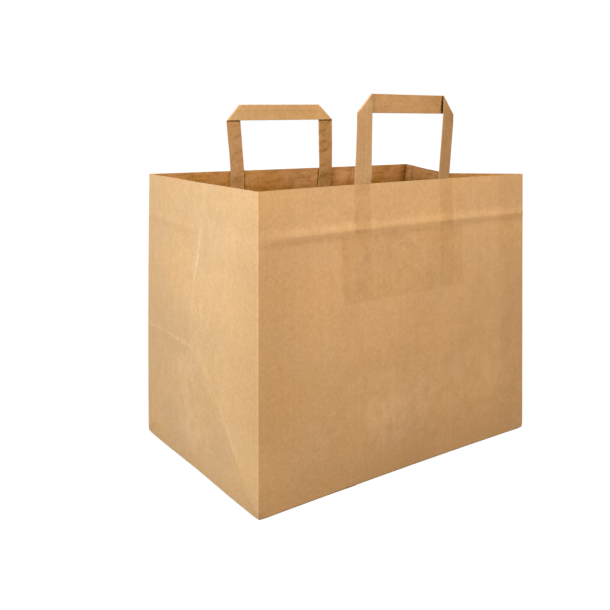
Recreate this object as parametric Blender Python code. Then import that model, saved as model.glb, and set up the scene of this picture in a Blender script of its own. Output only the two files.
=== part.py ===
# Block-bottomed kraft paper carrier bag with two flat paper handles.
#
# Frame: metres, +Z up. The origin is the middle of the base, on the surface the bag stands on.
# The wide front panel faces -Y, the gusseted sides face -X (left) and +X (right).
#
# Every piece is folded paper, so each is built as the paper's middle surface, crease by crease,
# and then given the paper's thickness.

import bmesh
import bpy
from mathutils import Vector

# The bag's body
WIDTH = 0.320
DEPTH = 0.215
HEIGHT = 0.265
PAPER = 0.00015
LAYER_GAP = 0.0003
LAYER_STEP = PAPER + LAYER_GAP

# How the open bag has settled: each corner of the mouth stands this far inside the base below it
MOUTH_IN_X = 0.005
MOUTH_IN_Y = 0.004
BACK_RIGHT_FORWARD = 0.0343
FRONT_BOW = 0.005
BACK_BOW = 0.003

# The gussets: the diagonal creases rise from the base corners and meet at the apex
APEX_HEIGHT = 0.117
LEFT_APEX_OUT = 0.004
LEFT_CREASE = ((-0.1645, -0.001, 0.160), (-0.1585, -0.004, 0.190), (-0.155, -0.013, HEIGHT))
RIGHT_APEX_IN = 0.042
RIGHT_MOUTH_FOLD = (0.097, -0.053)

# The line pressed into the bag where the folded base lay against it in the flat pack
PRESSED_LINE_HEIGHT = 0.2265
PRESSED_LINE_RIDGE = 0.0007
PRESSED_LINE_BAND = 0.0065
PRESSED_LINE_FADE = 0.125

# The block bottom
MAIN_FLAP_LAP = 0.012
SIDE_FLAP = 0.0995
CORNER_HOLE = 0.003
FLAP_CLEARANCE = 0.0006
LAP_RAMP = 0.003

# The glued side seam, a lap on the inside of the right gusset
SEAM_LAP = 0.018

# The handles and the patches that hold them
STRIP_WIDTH = 0.0161
STRIP_THICKNESS = 0.0008
GLUE_GAP = 0.0004
LEG_INSERT = 0.095

# A handle's left is its left edge at the mouth and its rise is its height above the mouth. Its top stands
# this far to the right of its foot (sway), and the right end of its bar is this much lower (droop)
FRONT_HANDLE = {"left": -0.0565, "width": 0.1143, "rise": 0.0749, "sway": 0.0014, "droop": 0.0010}
BACK_HANDLE = {"left": -0.0709, "width": 0.1235, "rise": 0.0680, "sway": -0.0030, "droop": -0.0010}

# The middle of a patch is this far to the left of the middle of its handle
PATCH_ASIDE = 0.002
PATCH_WIDTH = 0.144
PATCH_HEIGHT = 0.057
PATCH_BOTTOM = 0.164
PATCH_RAMP = 0.002

# How finely the sheet is divided
PANEL_COLUMNS = 8
GUSSET_HALF_COLUMNS = 4
APEX_ROWS = 4

KRAFT_OUTSIDE = (0.62, 0.38, 0.18, 1.0)
KRAFT_STRIP = (0.54, 0.31, 0.14, 1.0)
KRAFT_ROUGHNESS = 0.85


def clear_scene():
    """Removes whatever the file opened with."""
    for item in list(bpy.data.objects):
        bpy.data.objects.remove(item, do_unlink=True)


def kraft(name, colour):
    """Uncoated kraft paper: matt, and never metallic."""
    material = bpy.data.materials.new(name)
    material.use_nodes = True
    shader = material.node_tree.nodes["Principled BSDF"]
    shader.inputs["Base Color"].default_value = colour
    shader.inputs["Roughness"].default_value = KRAFT_ROUGHNESS
    shader.inputs["Metallic"].default_value = 0.0
    return material


class FoldedSheet:
    """The middle surface of a folded piece of paper: corners shared by the faces that meet there."""

    def __init__(self, name):
        self.name = name
        self.bm = bmesh.new()

    def point(self, place):
        return self.bm.verts.new(Vector(place))

    def face(self, corners):
        return self.bm.faces.new(corners)

    def strip(self, first, second):
        """Joins two rows of corners with a row of four-sided faces."""
        for index in range(len(first) - 1):
            self.face((first[index], first[index + 1], second[index + 1], second[index]))

    def thicken(self, thickness, material):
        """Turns the surface into one closed piece of this thickness, half to each side."""
        bmesh.ops.recalc_face_normals(self.bm, faces=self.bm.faces)
        mesh = bpy.data.meshes.new(self.name)
        self.bm.to_mesh(mesh)
        self.bm.free()
        mesh.materials.append(material)
        piece = bpy.data.objects.new(self.name, mesh)
        bpy.context.scene.collection.objects.link(piece)
        solidify = piece.modifiers.new("paper", "SOLIDIFY")
        solidify.thickness = thickness
        solidify.offset = 0.0
        solidify.use_even_offset = True
        return piece


def blend(start, end, share):
    """The point this share of the way from start to end."""
    return Vector(start).lerp(Vector(end), share)


def corner(side_x, side_y, z):
    """A vertical edge of the bag at height z: it leans in towards the mouth."""
    rise = z / HEIGHT
    x = side_x * (WIDTH / 2 - MOUTH_IN_X * rise)
    y = side_y * (DEPTH / 2 - MOUTH_IN_Y * rise)
    if side_x > 0 and side_y > 0:
        y -= BACK_RIGHT_FORWARD * rise
    return Vector((x, y, z))


def pressed_ridge(z):
    """How far the paper stands out along the line where the base was pressed against it."""
    offset = abs(z - PRESSED_LINE_HEIGHT) / PRESSED_LINE_BAND
    return PRESSED_LINE_RIDGE * max(0.0, 1.0 - offset)


def above_apex(z):
    """0 at the apex of the gussets and below it, 1 at the mouth."""
    return max(0.0, (z - APEX_HEIGHT) / (HEIGHT - APEX_HEIGHT))


def panel_point(side_y, along, z):
    """A point of the front (-1) or back (+1) panel, from its left edge (0) to its right edge (1)."""
    left = corner(-1, side_y, z)
    right = corner(1, side_y, z)
    if side_y > 0:
        right.x -= LAYER_STEP
    place = blend(left, right, along)
    # The bow is a parabola with its full depth half-way along; the ridge fades out at the left edge
    bow = FRONT_BOW if side_y < 0 else BACK_BOW
    bow *= above_apex(z) * 4 * along * (1 - along)
    ridge = pressed_ridge(z) * min(1.0, along / PRESSED_LINE_FADE)
    place.y -= side_y * (bow - ridge)
    return place


def gusset_fold(side_x, z):
    """The crease down the middle of a gusset: from the base line to the apex, then to the mouth."""
    line = [Vector((side_x * WIDTH / 2, 0, 0))]
    if side_x < 0:
        line.append(Vector((-WIDTH / 2 - LEFT_APEX_OUT, 0, APEX_HEIGHT)))
        line += [Vector(place) for place in LEFT_CREASE]
    else:
        middle = (corner(1, -1, APEX_HEIGHT) + corner(1, 1, APEX_HEIGHT)) / 2
        line.append(middle - Vector((RIGHT_APEX_IN, 0, 0)))
        line.append(Vector((*RIGHT_MOUTH_FOLD, HEIGHT)))
    for lower, upper in zip(line, line[1:]):
        if z <= upper.z:
            return blend(lower, upper, (z - lower.z) / (upper.z - lower.z))
    return line[-1]


def gusset_point(side_x, half, share, z):
    """A point of a gusset: half is -1 or +1, share runs from its corner (0) to its middle crease (1).

    Below the apex the middle of the gusset is one flat triangle on the base line, and the paper
    beside it is bent along the diagonal from the base corner to the apex.
    """
    edge = corner(side_x, half, z)
    if z > APEX_HEIGHT:
        return blend(edge, gusset_fold(side_x, z), share)
    up = z / APEX_HEIGHT
    apex = gusset_fold(side_x, APEX_HEIGHT)
    diagonal = blend(corner(side_x, half, 0), apex, up)
    if share <= up:
        return blend(edge, diagonal, share / up if up else 0)
    middle = gusset_fold(side_x, z)
    return blend(diagonal, middle, (share - up) / (1 - up))


def wall_rows():
    """The heights at which the walls are divided: every crease is one of them."""
    rows = [APEX_HEIGHT * step / APEX_ROWS for step in range(APEX_ROWS + 1)]
    rows += [place[2] for place in LEFT_CREASE[:-1]]
    rows += [PRESSED_LINE_HEIGHT + offset for offset in (-PRESSED_LINE_BAND, 0, PRESSED_LINE_BAND)]
    rows.append(HEIGHT)
    return rows


class BagBody:
    """The one sheet of the bag: four walls, the seam's lap and the folded block bottom."""

    def __init__(self):
        self.sheet = FoldedSheet("bag_body")
        self.rows = wall_rows()
        # Heights of the layers of the block bottom, outermost first
        self.outer_layer = PAPER / 2
        self.middle_layer = self.outer_layer + LAYER_STEP
        self.inner_layer = self.middle_layer + LAYER_STEP

    def corner_edge(self, place_at):
        """A vertical edge of the bag, which starts just above the pinhole at the base corner."""
        heights = [CORNER_HOLE] + self.rows[1:]
        return [self.sheet.point(place_at(z)) for z in heights]

    def column(self, place_at, base_layer):
        """A line of corners up a wall, from the fold at the base to the mouth."""
        foot = place_at(0)
        foot.z = base_layer
        return [self.sheet.point(foot)] + [self.sheet.point(place_at(z)) for z in self.rows[1:]]

    def wall(self, start_edge, start_foot, columns, end_foot, end_edge):
        """Covers a wall between two vertical edges, and returns its fold line along the base.

        A vertical edge doesn't reach the base, so it has a foot beside it on the fold line.
        """
        for edge, foot, beside in ((start_edge, start_foot, columns[0]), (end_edge, end_foot, columns[-1])):
            self.sheet.face((edge[0], foot, beside[1], edge[1]))
            self.sheet.face((foot, beside[0], beside[1]))
        for left, right in zip(columns, columns[1:]):
            self.sheet.face((left[0], right[0], right[1], left[1]))
        across = [start_edge, *columns, end_edge]
        for left, right in zip(across, across[1:]):
            self.sheet.strip(left[1:], right[1:])
        return [start_foot] + [column[0] for column in columns] + [end_foot]

    def main_panel(self, side_y, left_edge, right_edge):
        """The front or back panel, from its left edge to its right edge."""
        feet = []
        for along in (CORNER_HOLE / WIDTH, 1 - CORNER_HOLE / WIDTH):
            foot = panel_point(side_y, along, 0)
            foot.z = self.outer_layer
            feet.append(self.sheet.point(foot))
        columns = []
        for step in range(1, PANEL_COLUMNS):
            along = step / PANEL_COLUMNS
            columns.append(self.column(lambda z: panel_point(side_y, along, z), self.outer_layer))
        return self.wall(left_edge, feet[0], columns, feet[1], right_edge)

    def gusset(self, side_x, front_edge, back_edge):
        """A side panel, from its front edge to its back edge."""
        feet = []
        for half in (-1, 1):
            foot = (side_x * WIDTH / 2, half * (DEPTH / 2 - CORNER_HOLE), self.inner_layer)
            feet.append(self.sheet.point(foot))
        steps = range(1, GUSSET_HALF_COLUMNS + 1)
        places = [(-1, step / GUSSET_HALF_COLUMNS) for step in steps]
        places += [(1, step / GUSSET_HALF_COLUMNS) for step in reversed(steps[:-1])]
        columns = []
        for half, share in places:
            columns.append(self.column(lambda z: gusset_point(side_x, half, share, z), self.inner_layer))
        return self.wall(front_edge, feet[0], columns, feet[1], back_edge)

    def seam_lap(self, back_panel_edge):
        """The back panel's last strip, turned in behind the right gusset and glued to it.

        Its lower end is cut to the slope of the gusset's diagonal crease.
        """
        share = SEAM_LAP / (DEPTH / 2)
        heights = [share * APEX_HEIGHT] + self.rows[1:]
        inward = Vector((LAYER_STEP, 0, 0))
        free_edge = [self.sheet.point(gusset_point(1, 1, share, z) - inward) for z in heights]
        self.sheet.strip(back_panel_edge, free_edge)

    def side_flap(self, side_x, fold_line):
        """A side panel's end, folded in flat: the innermost layer of the base."""
        edge_y = DEPTH / 2 - FLAP_CLEARANCE
        start_x = side_x * (WIDTH / 2 - CORNER_HOLE)
        end_x = side_x * (WIDTH / 2 - SIDE_FLAP)
        z = self.inner_layer
        front_start = self.sheet.point((start_x, -edge_y, z))
        front_end = self.sheet.point((end_x, -edge_y, z))
        back_end = self.sheet.point((end_x, edge_y, z))
        back_start = self.sheet.point((start_x, edge_y, z))
        self.sheet.face(fold_line + [back_start, back_end, front_end, front_start])
        return {-1: (front_start, front_end), 1: (back_start, back_end)}

    def corner_fold(self, side_x, side_y, flap_edge):
        """The triangle tucked between a side flap and a main flap, folded at 45 degrees.

        It hangs from the side flap's edge, and returns its diagonal fold in the outer layer.
        """
        edge_y = side_y * (DEPTH / 2 - FLAP_CLEARANCE)
        start_x = side_x * (WIDTH / 2 - CORNER_HOLE)
        end_x = side_x * (WIDTH / 2 - SIDE_FLAP)
        diagonal_start_y = side_y * (DEPTH / 2 - CORNER_HOLE)
        diagonal_end_y = side_y * (DEPTH / 2 - SIDE_FLAP)
        z = self.middle_layer
        start = self.sheet.point((start_x, edge_y, z))
        end = self.sheet.point((end_x, edge_y, z))
        self.sheet.face((flap_edge[0], flap_edge[1], end, start))
        diagonal_start = self.sheet.point((start_x, diagonal_start_y, z))
        diagonal_end = self.sheet.point((end_x, diagonal_end_y, z))
        self.sheet.face((start, end, diagonal_end, diagonal_start))
        outer_start = self.sheet.point((start_x, diagonal_start_y, self.outer_layer))
        outer_end = self.sheet.point((end_x, diagonal_end_y, self.outer_layer))
        self.sheet.face((diagonal_start, diagonal_end, outer_end, outer_start))
        return outer_start, outer_end

    def main_flap(self, side_y, fold_line, left_fold, right_fold):
        """The end of the front or back panel, mitred by its corner folds. The back one laps inside."""
        end_x = WIDTH / 2 - SIDE_FLAP
        if side_y < 0:
            end = [(sign * end_x, MAIN_FLAP_LAP, self.outer_layer) for sign in (1, -1)]
            tip = [self.sheet.point(place) for place in end]
            self.sheet.face([*fold_line, *right_fold, *tip, *reversed(left_fold)])
            return
        ramp_foot = MAIN_FLAP_LAP + 2 * LAP_RAMP
        ramp_head = MAIN_FLAP_LAP + LAP_RAMP
        foot = [self.sheet.point((sign * end_x, ramp_foot, self.outer_layer)) for sign in (1, -1)]
        head = [self.sheet.point((sign * end_x, ramp_head, self.middle_layer)) for sign in (1, -1)]
        tip = [self.sheet.point((sign * end_x, -MAIN_FLAP_LAP, self.middle_layer)) for sign in (1, -1)]
        self.sheet.face([*fold_line, *right_fold, *foot, *reversed(left_fold)])
        self.sheet.face((foot[0], foot[1], head[1], head[0]))
        self.sheet.face((head[0], head[1], tip[1], tip[0]))

    def build(self, material):
        front_left = self.corner_edge(lambda z: corner(-1, -1, z))
        front_right = self.corner_edge(lambda z: corner(1, -1, z))
        back_left = self.corner_edge(lambda z: corner(-1, 1, z))
        gusset_edge = self.corner_edge(lambda z: corner(1, 1, z))
        back_right = self.corner_edge(lambda z: panel_point(1, 1, z))
        front_line = self.main_panel(-1, front_left, front_right)
        back_line = self.main_panel(1, back_left, back_right)
        left_line = self.gusset(-1, front_left, back_left)
        right_line = self.gusset(1, front_right, gusset_edge)
        self.seam_lap(back_right)
        left_edges = self.side_flap(-1, left_line)
        right_edges = self.side_flap(1, right_line)
        for side_y, line in ((-1, front_line), (1, back_line)):
            left_fold = self.corner_fold(-1, side_y, left_edges[side_y])
            right_fold = self.corner_fold(1, side_y, right_edges[side_y])
            self.main_flap(side_y, line, left_fold, right_fold)
        return self.sheet.thicken(PAPER, material)


def inside_panel(side_y, x, z, depth):
    """A point this far inside the front or back panel, which is also followed up above the mouth."""
    left = corner(-1, side_y, min(z, HEIGHT))
    right = corner(1, side_y, min(z, HEIGHT))
    along = (x - left.x) / (right.x - left.x)
    place = panel_point(side_y, along, min(z, HEIGHT))
    place.y -= side_y * depth
    place.z = z
    return place


def handle(name, side_y, size, material):
    """A flat strip: two legs against the panel, and the bar folded over behind them at 45 degrees."""
    sheet = FoldedSheet(name)
    middle = size["left"] + size["width"] / 2
    leg_depth = PAPER / 2 + GLUE_GAP + STRIP_THICKNESS / 2
    bar_depth = leg_depth + STRIP_THICKNESS + LAYER_GAP
    bottom = HEIGHT - LEG_INSERT
    top = HEIGHT + size["rise"]
    bar_bottom = top - STRIP_WIDTH
    outer = (size["left"], size["left"] + size["width"])
    inner = (outer[0] + STRIP_WIDTH, outer[1] - STRIP_WIDTH)

    def at(x, z, depth):
        up = max(0.0, z - HEIGHT) / size["rise"]
        place = inside_panel(side_y, x, z, depth)
        place.x += size["sway"] * up
        place.z -= size["droop"] * (x - middle) / size["width"] * up
        return sheet.point(place)

    levels = [row for row in wall_rows() if bottom < row]
    bar_outer, bar_inner = [], []
    for outside, inside in zip(outer, inner):
        heights = [bottom] + levels
        edge = [at(outside, z, leg_depth) for z in heights]
        other = [at(inside, z, leg_depth) for z in heights]
        sheet.strip(edge, other)
        fold_low = at(outside, bar_bottom, leg_depth)
        fold_high = at(inside, top, leg_depth)
        sheet.face((edge[-1], other[-1], fold_high, fold_low))
        back_low = at(outside, bar_bottom, bar_depth)
        back_high = at(inside, top, bar_depth)
        sheet.face((fold_low, fold_high, back_high, back_low))
        bar_outer.append(back_low)
        bar_inner.append(back_high)
    sheet.face((bar_outer[0], bar_outer[1], bar_inner[1], bar_inner[0]))
    return sheet.thicken(STRIP_THICKNESS, material)


def handle_patch(name, side_y, size, material):
    """A rectangle of paper glued to the panel, raised where it passes over the handle's legs."""
    sheet = FoldedSheet(name)
    middle = size["left"] + size["width"] / 2 - PATCH_ASIDE
    flat_depth = PAPER + GLUE_GAP
    raised_depth = flat_depth + STRIP_THICKNESS + GLUE_GAP
    outline = [(middle - PATCH_WIDTH / 2, flat_depth)]
    for leg_start in (size["left"], size["left"] + size["width"] - STRIP_WIDTH):
        head = leg_start - PATCH_RAMP
        far_head = leg_start + STRIP_WIDTH + PATCH_RAMP
        outline += [(head - PATCH_RAMP, flat_depth), (head, raised_depth)]
        outline += [(far_head, raised_depth), (far_head + PATCH_RAMP, flat_depth)]
    outline.append((middle + PATCH_WIDTH / 2, flat_depth))
    heights = [PATCH_BOTTOM, PATCH_BOTTOM + PATCH_HEIGHT]
    heights[1:1] = [row for row in wall_rows() if heights[0] < row < heights[1]]
    rows = []
    for z in heights:
        rows.append([sheet.point(inside_panel(side_y, x, z, depth)) for x, depth in outline])
    for lower, upper in zip(rows, rows[1:]):
        sheet.strip(lower, upper)
    return sheet.thicken(PAPER, material)


clear_scene()
body_paper = kraft("kraft_body", KRAFT_OUTSIDE)
strip_paper = kraft("kraft_strip", KRAFT_STRIP)
patch_paper = kraft("kraft_patch", KRAFT_OUTSIDE)
BagBody().build(body_paper)
handle("front_handle", -1, FRONT_HANDLE, strip_paper)
handle("back_handle", 1, BACK_HANDLE, strip_paper)
handle_patch("front_handle_patch", -1, FRONT_HANDLE, patch_paper)
handle_patch("back_handle_patch", 1, BACK_HANDLE, patch_paper)
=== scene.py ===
import math

import bmesh
import bpy
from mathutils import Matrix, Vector, noise


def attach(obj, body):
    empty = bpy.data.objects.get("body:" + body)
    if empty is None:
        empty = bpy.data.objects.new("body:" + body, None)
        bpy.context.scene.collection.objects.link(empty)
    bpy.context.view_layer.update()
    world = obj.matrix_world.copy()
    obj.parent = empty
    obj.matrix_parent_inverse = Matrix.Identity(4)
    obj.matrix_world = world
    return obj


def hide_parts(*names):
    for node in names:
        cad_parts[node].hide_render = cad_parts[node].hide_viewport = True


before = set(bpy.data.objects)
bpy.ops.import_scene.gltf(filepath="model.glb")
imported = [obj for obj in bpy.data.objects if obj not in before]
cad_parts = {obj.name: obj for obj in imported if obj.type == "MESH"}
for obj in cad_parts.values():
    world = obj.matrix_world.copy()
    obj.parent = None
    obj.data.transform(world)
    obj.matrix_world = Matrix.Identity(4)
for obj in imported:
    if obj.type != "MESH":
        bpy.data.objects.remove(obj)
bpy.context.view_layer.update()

# The bag's body
# One sheet of kraft, folded round into a tube with a gusset in each side and glued in a lap at the
# back right corner. Its lower end is folded flat into the block bottom. It stands open and empty.
# The paper's marks are placed in metres on the flat sheet, so they follow it round every fold.
WIDTH = 0.320
DEPTH = 0.215
HEIGHT = 0.265
PAPER = 0.00015  # its thickness
LAYER_STEP = 0.00045  # from one glued layer to the next
FOLD_RADIUS = 0.0008
SEAM_LAP = 0.018
SIDE_FLAP = 0.0995
MAIN_FLAP_LAP = 0.012  # how far each main flap reaches past the middle of the base
LAP_RAMP = 0.003  # how long the step is that takes the back main flap over the front one
FLAP_CLEARANCE = 0.0006  # between a side flap's edge and the wall beside it
APEX_HEIGHT = 0.117  # where the two diagonal creases of a gusset meet
PINHOLE = 0.0012  # what stays open at each base corner, where the folds crumple together
OPEN_FOOT = 0.0005  # how high the foot of each upright fold stays open


def joined(tree, socket, value):
    """Feeds a socket from another socket, or sets it to a plain value."""
    if isinstance(value, bpy.types.NodeSocket):
        tree.links.new(value, socket)
    else:
        socket.default_value = value


def sum_of(tree, operation, *values, clamp=False):
    """One sum, such as ADD or MULTIPLY, on sockets and plain values."""
    step = tree.nodes.new("ShaderNodeMath")
    step.operation = operation
    step.use_clamp = clamp
    for socket, value in zip(step.inputs, values):
        joined(tree, socket, value)
    return step.outputs[0]


def ramp_between(tree, value, start, end, low=0.0, high=1.0):
    """Low where the value is at start, high where it is at end, and a soft slope between them."""
    step = tree.nodes.new("ShaderNodeMapRange")
    step.interpolation_type = "SMOOTHSTEP"
    names = ("Value", "From Min", "From Max", "To Min", "To Max")
    for name, entry in zip(names, (value, start, end, low, high)):
        joined(tree, step.inputs[name], entry)
    return step.outputs[0]


def within(tree, value, low, high):
    """1 where the value lies between low and high, 0 where it doesn't, with soft edges."""
    soft = 0.0012
    return sum_of(tree, "MULTIPLY", ramp_between(tree, value, low - soft, low + soft),
                  ramp_between(tree, value, high + soft, high - soft))


def mottle(tree, where, across, along, detail=3.0, seed=0.0):
    """Cloudy marks about this many metres across and along the fibres, from 0 to 1, with a middle of 0.5."""
    placed = tree.nodes.new("ShaderNodeMapping")
    placed.inputs["Scale"].default_value = (1 / across, 1 / along, 1.0)
    placed.inputs["Location"].default_value = (seed, seed * 1.7, seed * 0.3)
    tree.links.new(where, placed.inputs["Vector"])
    cloud = tree.nodes.new("ShaderNodeTexNoise")
    cloud.inputs["Scale"].default_value = 1.0
    cloud.inputs["Detail"].default_value = detail
    tree.links.new(placed.outputs[0], cloud.inputs["Vector"])
    return cloud.outputs["Fac"]


def line_mask_group():
    """Node group: 1 on a straight line on the flat sheet, 0 further off it than the width."""
    group = bpy.data.node_groups.new("crease", "ShaderNodeTree")
    for name in ("Sheet", "Start", "Run"):
        group.interface.new_socket(name, in_out="INPUT", socket_type="NodeSocketVector")
    group.interface.new_socket("Width", in_out="INPUT", socket_type="NodeSocketFloat")
    group.interface.new_socket("Line", in_out="OUTPUT", socket_type="NodeSocketFloat")
    entry = group.nodes.new("NodeGroupInput")
    leave = group.nodes.new("NodeGroupOutput")

    def vectors(operation, *values, scale=None):
        step = group.nodes.new("ShaderNodeVectorMath")
        step.operation = operation
        for socket, value in zip(step.inputs, values):
            joined(group, socket, value)
        if scale is not None:
            joined(group, step.inputs["Scale"], scale)
        return step.outputs["Value" if operation in ("DOT_PRODUCT", "LENGTH") else "Vector"]

    offset = vectors("SUBTRACT", entry.outputs["Sheet"], entry.outputs["Start"])
    reach = sum_of(group, "DIVIDE", vectors("DOT_PRODUCT", offset, entry.outputs["Run"]),
                   vectors("DOT_PRODUCT", entry.outputs["Run"], entry.outputs["Run"]), clamp=True)
    nearest = vectors("SCALE", entry.outputs["Run"], scale=reach)
    distance = vectors("LENGTH", vectors("SUBTRACT", offset, nearest))
    line = ramp_between(group, distance, entry.outputs["Width"], 0.0)
    group.links.new(line, leave.inputs["Line"])
    return group


line_mask = line_mask_group()


def kraft(name, colour, wear_and_light_lines=(), doubled_and_shaded=(), grain=1.0, shine=0.35, stain=0.0, painted_depth_shade=None):
    """Kraft paper of this colour.

    The lines are (start, end, width, strength) on the flat sheet: paler where the strength is above 0, darker
    below. They are worn folds, painted highlights and painted shade. The rectangles are (low corner, high
    corner, strength) of what is glued behind the sheet and shows through, and of painted shade on the handles.
    Both are patchy. grain is how strong the marks of the fibres are, and shine how much the surface shines.
    stain is the
    depth of the dark clouds that lie across the sheet. The last argument is painted shade, (low, high, share):
    going down the sheet from high to low, the colour sinks to this share.
    """
    material = bpy.data.materials.new(name)
    material.use_nodes = True
    tree = material.node_tree
    shader = tree.nodes["Principled BSDF"]
    sheet = tree.nodes.new("ShaderNodeAttribute")
    sheet.attribute_name = "flat"
    where = sheet.outputs["Vector"]
    fibres = mottle(tree, where, 0.0013, 0.0040, detail=4.0, seed=3.1)
    specks = mottle(tree, where, 0.0030, 0.0024, detail=3.0, seed=4.6)
    flecks = mottle(tree, where, 0.0006, 0.0022, detail=1.0, seed=8.2)
    clouds = mottle(tree, where, 0.009, 0.012, detail=4.0, seed=5.7)
    sweeps = mottle(tree, where, 0.045, 0.060, detail=2.0, seed=1.9)
    streaks = mottle(tree, where, 0.0035, 0.120, detail=3.0, seed=6.4)
    # The tone is 1 where the paper has its plain colour
    tone = 1.0
    for marks, depth in ((fibres, 0.30), (specks, 0.20), (clouds, 0.17), (sweeps, 0.10), (streaks, 0.06)):
        swing = sum_of(tree, "MULTIPLY", sum_of(tree, "SUBTRACT", marks, 0.5), depth * grain)
        tone = sum_of(tree, "ADD", swing, tone)
    if stain:
        stains = mottle(tree, where, 0.014, 0.0040, detail=3.0, seed=7.7)
        tone = sum_of(tree, "SUBTRACT", tone, ramp_between(tree, stains, 0.42, 0.68, 0.0, stain))
    dark_flecks = ramp_between(tree, flecks, 0.66, 0.80)
    tone = sum_of(tree, "SUBTRACT", tone, sum_of(tree, "MULTIPLY", dark_flecks, 0.14 * grain))
    for low, high, strength in doubled_and_shaded:
        # Its edges wander a little
        wobble = sum_of(tree, "MULTIPLY", sum_of(tree, "SUBTRACT", clouds, 0.5), 0.004)
        ragged = tree.nodes.new("ShaderNodeVectorMath")
        ragged.operation = "ADD"
        tree.links.new(where, ragged.inputs[0])
        tree.links.new(wobble, ragged.inputs[1])
        sides = tree.nodes.new("ShaderNodeSeparateXYZ")
        tree.links.new(ragged.outputs[0], sides.inputs[0])
        shown = sum_of(tree, "MULTIPLY", within(tree, sides.outputs["X"], low[0], high[0]),
                       within(tree, sides.outputs["Y"], low[1], high[1]))
        patchy = ramp_between(tree, mottle(tree, where, 0.012, 0.016, seed=2.2), 0.30, 0.70, 0.60, 1.15)
        shown = sum_of(tree, "MULTIPLY", sum_of(tree, "MULTIPLY", shown, patchy), strength)
        tone = sum_of(tree, "SUBTRACT", tone, shown)
    # Lines of worn folds, painted highlights and painted shade, each of them patchy
    for start, end, width, strength in wear_and_light_lines:
        line = tree.nodes.new("ShaderNodeGroup")
        line.node_tree = line_mask
        tree.links.new(where, line.inputs["Sheet"])
        line.inputs["Start"].default_value = (*start, 0.0)
        line.inputs["Run"].default_value = (end[0] - start[0], end[1] - start[1], 0.0)
        line.inputs["Width"].default_value = width
        worn = sum_of(tree, "MULTIPLY", line.outputs[0], ramp_between(tree, clouds, 0.30, 0.62, 0.45, 1.0))
        tone = sum_of(tree, "ADD", tone, sum_of(tree, "MULTIPLY", worn, strength))
    # Painted shade: the colour sinks going down the sheet
    if painted_depth_shade:
        level = tree.nodes.new("ShaderNodeSeparateXYZ")
        tree.links.new(where, level.inputs[0])
        tone = sum_of(tree, "MULTIPLY", tone, ramp_between(tree, level.outputs["Y"], *painted_depth_shade, 1.0))
    # Painted shade: ambient occlusion darkens narrow gaps beyond what the light alone leaves them
    nook = tree.nodes.new("ShaderNodeAmbientOcclusion")
    nook.samples = 6
    nook.inputs["Distance"].default_value = 0.004
    tone = sum_of(tree, "MULTIPLY", tone, ramp_between(tree, nook.outputs["AO"], 0.15, 0.75, 0.40, 1.0))
    tinted = tree.nodes.new("ShaderNodeVectorMath")
    tinted.operation = "SCALE"
    tinted.inputs[0].default_value = colour
    tree.links.new(tone, tinted.inputs["Scale"])
    # Darker places are redder too
    ruddy = tree.nodes.new("ShaderNodeHueSaturation")
    tree.links.new(tinted.outputs[0], ruddy.inputs["Color"])
    warmer = sum_of(tree, "MULTIPLY", sum_of(tree, "SUBTRACT", 1.0, tone), 0.30)
    varied = ramp_between(tree, sweeps, 0.30, 0.70, 0.975, 1.03)
    tree.links.new(sum_of(tree, "ADD", varied, warmer), ruddy.inputs["Saturation"])
    tree.links.new(ruddy.outputs[0], shader.inputs["Base Color"])
    tree.links.new(ramp_between(tree, fibres, 0.3, 0.7, 0.78, 0.92), shader.inputs["Roughness"])
    shader.inputs["Specular IOR Level"].default_value = shine
    height = sum_of(tree, "ADD", sum_of(tree, "MULTIPLY", fibres, 0.00006),
                    sum_of(tree, "MULTIPLY", clouds, 0.00022))
    felt = tree.nodes.new("ShaderNodeBump")
    felt.inputs["Strength"].default_value = 0.6
    felt.inputs["Distance"].default_value = 1.0
    tree.links.new(height, felt.inputs["Height"])
    tree.links.new(felt.outputs[0], shader.inputs["Normal"])
    return material


def between(start, end, share):
    """The point this share of the way from start to end."""
    return Vector(start).lerp(Vector(end), share)


def clamped(value):
    """The value, held between 0 and 1."""
    return min(1.0, max(0.0, value))


# How far each corner of the base stands outside the plain rectangle, and each corner of the mouth inside it,
# in width and in depth. A corner is named by its side: left (-1) or right (1), then front (-1) or back (1).
BASE_OUT = {(-1, -1): (0.0022, 0.0010), (1, -1): (0.0026, 0.0003),
            (-1, 1): (0.0007, 0.0005), (1, 1): (0.0000, 0.0000)}
MOUTH_IN = {(-1, -1): (0.0039, 0.0047), (1, -1): (0.0080, 0.0040),
            (-1, 1): (0.0058, 0.0052), (1, 1): (0.0041, 0.0383)}
EDGE_BULGE = 0.0008  # how far the back left edge stands out halfway up


def corner(side_x, side_y, z):
    """A vertical edge of the bag at height z. The back right one leans forward, where its gusset folds in."""
    rise = z / HEIGHT
    (out_x, out_y), (in_x, in_y) = BASE_OUT[side_x, side_y], MOUTH_IN[side_x, side_y]
    bulge = EDGE_BULGE * 4 * rise * (1 - rise) if side_x < 0 < side_y else 0.0
    x = WIDTH / 2 + out_x * (1 - rise) - in_x * rise + bulge
    y = DEPTH / 2 + out_y * (1 - rise) - in_y * rise
    return Vector((side_x * x, side_y * y, z))


def above_apex(z):
    """0 up to where the diagonals meet, 1 at the mouth."""
    return max(0.0, (z - APEX_HEIGHT) / (HEIGHT - APEX_HEIGHT))


# How far the middle of the front and of the back bows into the bag at the mouth, and of the front at its foot
FRONT_BOW = 0.005
BACK_BOW = 0.003
FOOT_HOLLOW = 0.0020
FOOT_HOLLOW_HEIGHT = 0.05
# The ridge where the mouth was folded over and pressed in the pack
PRESSED_LINE = 0.2265
PRESSED_RIDGE = 0.0007
PRESSED_WIDTH = 0.0065


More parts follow.
